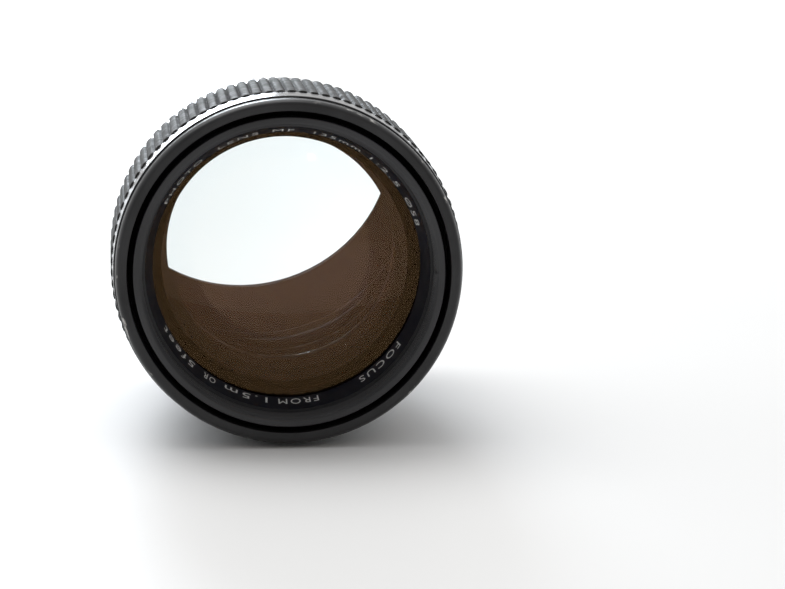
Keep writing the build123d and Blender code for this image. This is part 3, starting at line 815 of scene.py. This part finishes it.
def sink_pocket(piece, angle, station, radius, floor, top, around=96):
    """Cut a round blind hole that points out from the optical axis into a closed piece."""
    verts = [tuple(radial_point(angle, station, radius, height, 2 * math.pi * i / around) * MM)
             for height in (floor, top) for i in range(around)]
    faces = [tuple(range(around)), tuple(range(around, 2 * around))]
    faces += [(i, (i + 1) % around, around + (i + 1) % around, around + i) for i in range(around)]
    plug_mesh = bpy.data.meshes.new("pocket_plug")
    plug_mesh.from_pydata(verts, [], faces)
    face_outward(plug_mesh)
    plug = bpy.data.objects.new("pocket_plug", plug_mesh)
    blank = bpy.data.objects.new("pocket_blank", piece.data)
    for part in (plug, blank):
        bpy.context.scene.collection.objects.link(part)
    cut = blank.modifiers.new("cut", "BOOLEAN")
    cut.operation = "DIFFERENCE"
    cut.solver = "EXACT"
    cut.object = plug
    bpy.context.view_layer.update()
    bored = bpy.data.meshes.new_from_object(blank.evaluated_get(bpy.context.evaluated_depsgraph_get()))
    bored.shade_smooth()
    bored.set_sharp_from_angle(angle=math.radians(35))
    piece.data = bored
    for part in (plug, blank):
        bpy.data.objects.remove(part)


BUTTON_ANGLE = 312.0
BUTTON_STATION = 29.1
BUTTON_RADIUS = 1.4
BUTTON_GAP = 0.05            # between the button and its pocket
button_profile = [(0, 31.4), (BUTTON_RADIUS, 31.4), (BUTTON_RADIUS, 32.72), (1.34, 32.82), (1.2, 32.88),
                  (0.9, 32.82), (0, 32.78)]
sink_pocket(scalloped_ring, BUTTON_ANGLE, BUTTON_STATION, BUTTON_RADIUS + BUTTON_GAP, 30.6, 34.0)
disc_stack("aperture_lock_button_fine", BUTTON_ANGLE, BUTTON_STATION, button_profile, "lock_button",
           ["aperture_lock_button"])
REAR_RADIUS = 31.1
REAR_FRONT = front_of("rear_ring")
lathe("rear_ring_fine", soften(
    [(30.0, 13.4), (30.9, 13.4), (REAR_RADIUS, 13.6), (REAR_RADIUS, REAR_FRONT - 0.2), (30.9, REAR_FRONT),
     (30.0, REAR_FRONT)], 0.1), "barrel", ["rear_ring"])
tick_marks("rear_index", [(INDEX, 14.2, 18.6, 0.5)], REAR_RADIUS, "barrel", WHITE, "black_metal")

# ---- mount -------------------------------------------------------------------------------------------
BREECH_FRONT = front_of("breech_ring")
BREECH_REAR = rear_of("breech_ring")
KNURLS = 90
KNURL_REAR = 5.4
KNURL_FRONT = 12.2
KNURL_CREST = 30.65


def breech_radius(radius, station, angle):
    """Straight knurl in a raised band."""
    if radius < 30.3 or not KNURL_REAR < station < KNURL_FRONT:
        return radius
    place = abs((angle * KNURLS / 360.0) % 1.0 - 0.5) * 2
    fade = smoothstep(KNURL_REAR, 6.0, station) * smoothstep(KNURL_FRONT, 11.6, station)
    return radius - 0.36 * smoothstep(0.45, 0.95, place) * fade


breech_profile = soften(
    [(27.26, 10.0), (28.3, 10.0), (28.3, BREECH_REAR), (29.0, BREECH_REAR), (29.4, BREECH_REAR + 0.4),
     (30.2, 5.2), (KNURL_CREST, 5.6), (KNURL_CREST, 7.5), (KNURL_CREST, 10.0), (KNURL_CREST, 12.0),
     (30.2, 12.4), (30.2, BREECH_FRONT - 0.3), (29.9, BREECH_FRONT), (27.26, BREECH_FRONT)], 0.12)
lathe("breech_ring_knurled", breech_profile, "breech_ring", ["breech_ring"], around=1080,
      radius_at=breech_radius)


def lug(name, inner, outer, rear, front, middle, half, body, **options):
    """A piece of a ring between two angles."""
    profile = soften([(inner, rear), (outer, rear), (outer, front), (inner, front)], 0.1, 3)
    rows = len(profile)
    steps = 40
    verts = []
    faces = []
    for i in range(steps + 1):
        for radius, station in profile:
            verts.append(at(radius, station, middle - half + 2 * half * i / steps))
    for i in range(steps):
        for k in range(rows):
            m = (k + 1) % rows
            a = i * rows
            faces.append((a + k, a + m, a + rows + m, a + rows + k))
    faces.append(tuple(range(rows))[::-1])
    faces.append(tuple(steps * rows + k for k in range(rows)))
    finish_piece(name, verts, faces, body, weld=True, **options)


LUG_ANGLES = (30.0, 150.0, 270.0)
for number, middle in enumerate(LUG_ANGLES, 1):
    lug(f"breech_lug_{number}", 26.3, 28.5, BREECH_REAR, BREECH_REAR + 1.5, middle, 24.0, "breech_ring",
        slot="chrome")
dot_profile = [(0, 28.9), (1.2, 28.9), (1.2, 29.88), (1.1, 29.95), (0, 29.98)]
disc_stack("breech_index_dot_fine", INDEX, 1.6, dot_profile, "breech_ring", ["breech_index_dot"])
lathe("mount_base_fine", soften(
    [(23.2, -4.0), (24.3, -4.0), (24.6, -3.7), (24.6, 0.0), (26.1, 0.0), (26.1, 0.3), (27.2, 0.3),
     (27.2, 13.4), (28.75, 13.4), (28.75, 15.4), (26.0, 15.4), (26.0, 3.2), (23.2, 3.2)], 0.12),
    "barrel", ["mount_base"])

# ---- floor, light and camera -------------------------------------------------------------------------
FLOOR_Z = -reach_of("focus_grip") * MM
paper, paper_shader = shader("white_paper", (0.9, 0.9, 0.89), 0.6, specular=0.3)
tint(paper, paper_shader, spread(paper, noise(paper, 3, 3), 0, 1), (0.90, 0.90, 0.895), (0.92, 0.92, 0.915))
floor_mesh = bpy.data.meshes.new("floor")
SPAN = 6.0
floor_corners = [(x, y, FLOOR_Z) for x, y in ((-SPAN, -SPAN), (SPAN, -SPAN), (SPAN, SPAN), (-SPAN, SPAN))]
floor_mesh.from_pydata(floor_corners, [], [(0, 1, 2, 3)])
floor = bpy.data.objects.new("floor", floor_mesh)
bpy.context.scene.collection.objects.link(floor)
floor_mesh.materials.append(paper)


def area_light(name, place, width, height, power, color):
    """A rectangular lamp in metres and watts that faces the mount flange."""
    data = bpy.data.lights.new(name, "AREA")
    data.shape = "RECTANGLE"
    data.size = width
    data.size_y = height
    data.energy = power
    data.color = color
    lamp = bpy.data.objects.new(name, data)
    bpy.context.scene.collection.objects.link(lamp)
    lamp.location = place
    lamp.rotation_euler = (Vector((0, 0, 0)) - Vector(place)).to_track_quat("-Z", "Y").to_euler()


area_light("back_softbox", (-0.12, 1.5, 0.42), 0.30, 0.85, 9, (0.86, 0.93, 1.0))
area_light("overhead_panel", (-0.5, 0.6, 1.9), 1.6, 1.6, 20, (1.0, 1.0, 1.0))
area_light("warm_lamp", (0.35, -1.6, 0.9), 0.08, 0.08, 0.5, (1.0, 0.6, 0.25))

# The surroundings are brighter behind the lens than in front of it.
world = bpy.data.worlds.new("studio")
bpy.context.scene.world = world
world.use_nodes = True
tree = world.node_tree
sky = tree.nodes["Background"]
direction = tree.nodes.new("ShaderNodeTexCoord")
split = tree.nodes.new("ShaderNodeSeparateXYZ")
tree.links.new(direction.outputs["Generated"], split.inputs["Vector"])
behind = tree.nodes.new("ShaderNodeMapRange")
behind.inputs["From Min"].default_value = -0.35
behind.inputs["From Max"].default_value = 0.55
behind.inputs["To Min"].default_value = 0.40
behind.inputs["To Max"].default_value = 0.9
behind.interpolation_type = "SMOOTHSTEP"
tree.links.new(split.outputs["Y"], behind.inputs["Value"])
tree.links.new(behind.outputs["Result"], sky.inputs["Strength"])
sky.inputs["Color"].default_value = (1.0, 1.0, 1.0, 1)
bpy.context.scene.view_settings.view_transform = "Standard"

FRONT_Y = -LENGTH * MM
camera_data = bpy.data.cameras.new("camera")
camera_data.lens = 160.5
camera_data.sensor_width = 36.0
camera_data.clip_start = 0.01
camera = bpy.data.objects.new("camera", camera_data)
bpy.context.scene.collection.objects.link(camera)
camera.location = (-0.03356, FRONT_Y - 0.67183, 0.09849)
YAW = math.radians(4.56)
PITCH = math.radians(-8.68)
aim = Vector((math.sin(YAW) * math.cos(PITCH), math.cos(YAW) * math.cos(PITCH), math.sin(PITCH)))
camera.rotation_euler = aim.to_track_quat("-Z", "Y").to_euler()
bpy.context.scene.camera = camera
